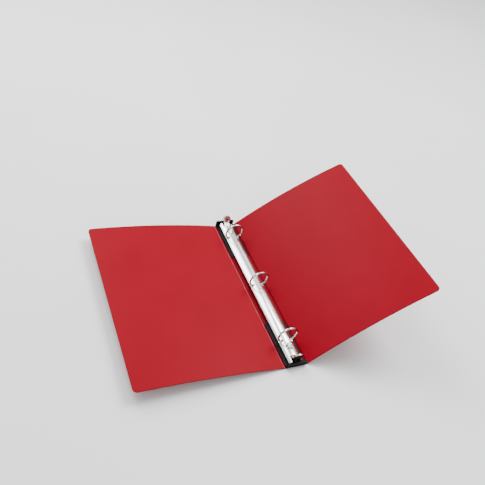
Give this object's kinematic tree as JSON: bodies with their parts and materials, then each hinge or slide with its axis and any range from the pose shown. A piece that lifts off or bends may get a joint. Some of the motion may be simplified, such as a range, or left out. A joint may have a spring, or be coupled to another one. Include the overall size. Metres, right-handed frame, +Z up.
{
  "type": "hanging ring binder",
  "caption": "Open hanging ring binder: a flexible sheet cover hinged each side of a spine, with round rings on an arched housing, end levers and slide-out hanging hooks.",
  "frame": {"origin": "centre of the spine's under face, which is the face the open binder rests on", "axes": "+X across the spine to the back cover, +Y along the spine to the far end, +Z up, away from the surface it lies on"},
  "size_m": [0.4238, 0.2972, 0.1229],
  "materials": {
    "red_sheet": "red polypropylene sheet, satin inside and grained outside",
    "bright_plate": "bright nickel plate on pressed steel",
    "rivet_steel": "plated steel, the outer head painted red",
    "black_moulding": "black moulded plastic, fine grain",
    "label_paper": "blank cream paper label"
  },
  "bodies": {
    "spine": {"spine_panel": "red_sheet", "front_hinge_web": "red_sheet", "back_hinge_web": "red_sheet", "spine_label": "label_paper", "ring_housing": "bright_plate", "near_rivet": "rivet_steel", "far_rivet": "rivet_steel", "near_rivet_spacer": "rivet_steel", "far_rivet_spacer": "rivet_steel", "near_lever_pin": "bright_plate", "far_lever_pin": "bright_plate"},
    "front_cover": {"front_cover": "red_sheet"},
    "back_cover": {"back_cover": "red_sheet"},
    "near_hook": {"near_hook": "black_moulding"},
    "far_hook": {"far_hook": "black_moulding"},
    "left_rail": {"left_blade": "bright_plate", "near_left_half_ring": "bright_plate", "middle_left_half_ring": "bright_plate", "far_left_half_ring": "bright_plate"},
    "right_rail": {"right_blade": "bright_plate", "near_right_half_ring": "bright_plate", "middle_right_half_ring": "bright_plate", "far_right_half_ring": "bright_plate"},
    "near_lever": {"near_lever": "bright_plate", "near_thumb_pad": "black_moulding"},
    "far_lever": {"far_lever": "bright_plate", "far_thumb_pad": "black_moulding"}
  },
  "joints": [
    {"name": "front_cover_hinge", "type": "hinge", "parent": "spine", "child": "front_cover", "pos_m": [-0.0176, 0, 0.0006], "axis": [0, 1, 0], "range_deg": [-89.8, 80.3], "deforming": ["front_hinge_web"]},
    {"name": "back_cover_hinge", "type": "hinge", "parent": "spine", "child": "back_cover", "pos_m": [0.0176, 0, 0.0006], "axis": [0, -1, 0], "range_deg": [-118.1, 48.6], "deforming": ["back_hinge_web"]},
    {"name": "near_hook_slide", "type": "slide", "parent": "spine", "child": "near_hook", "axis": [0, -1, 0], "range_m": [0, 0.014]},
    {"name": "far_hook_slide", "type": "slide", "parent": "spine", "child": "far_hook", "axis": [0, 1, 0], "range_m": [0, 0.014]},
    {"name": "left_rail_turn", "type": "hinge", "parent": "spine", "child": "left_rail", "pos_m": [-0.00915, 0, 0.006], "axis": [0, 1, 0], "range_deg": [-18, 0]},
    {"name": "right_rail_turn", "type": "hinge", "parent": "spine", "child": "right_rail", "pos_m": [0.00915, 0, 0.006], "axis": [0, 1, 0], "range_deg": [0, 18]},
    {"name": "near_lever_turn", "type": "hinge", "parent": "spine", "child": "near_lever", "pos_m": [0, -0.1328, 0.0058], "axis": [1, 0, 0], "range_deg": [0, 15]},
    {"name": "far_lever_turn", "type": "hinge", "parent": "spine", "child": "far_lever", "pos_m": [0, 0.1328, 0.0058], "axis": [1, 0, 0], "range_deg": [-15, 0]}
  ],
  "couplings": [
    {"joint": "right_rail_turn", "follows": "left_rail_turn", "ratio": -1},
    {"joint": "near_lever_turn", "follows": "left_rail_turn", "ratio": -0.8333},
    {"joint": "far_lever_turn", "follows": "left_rail_turn", "ratio": 0.8333}
  ]
}
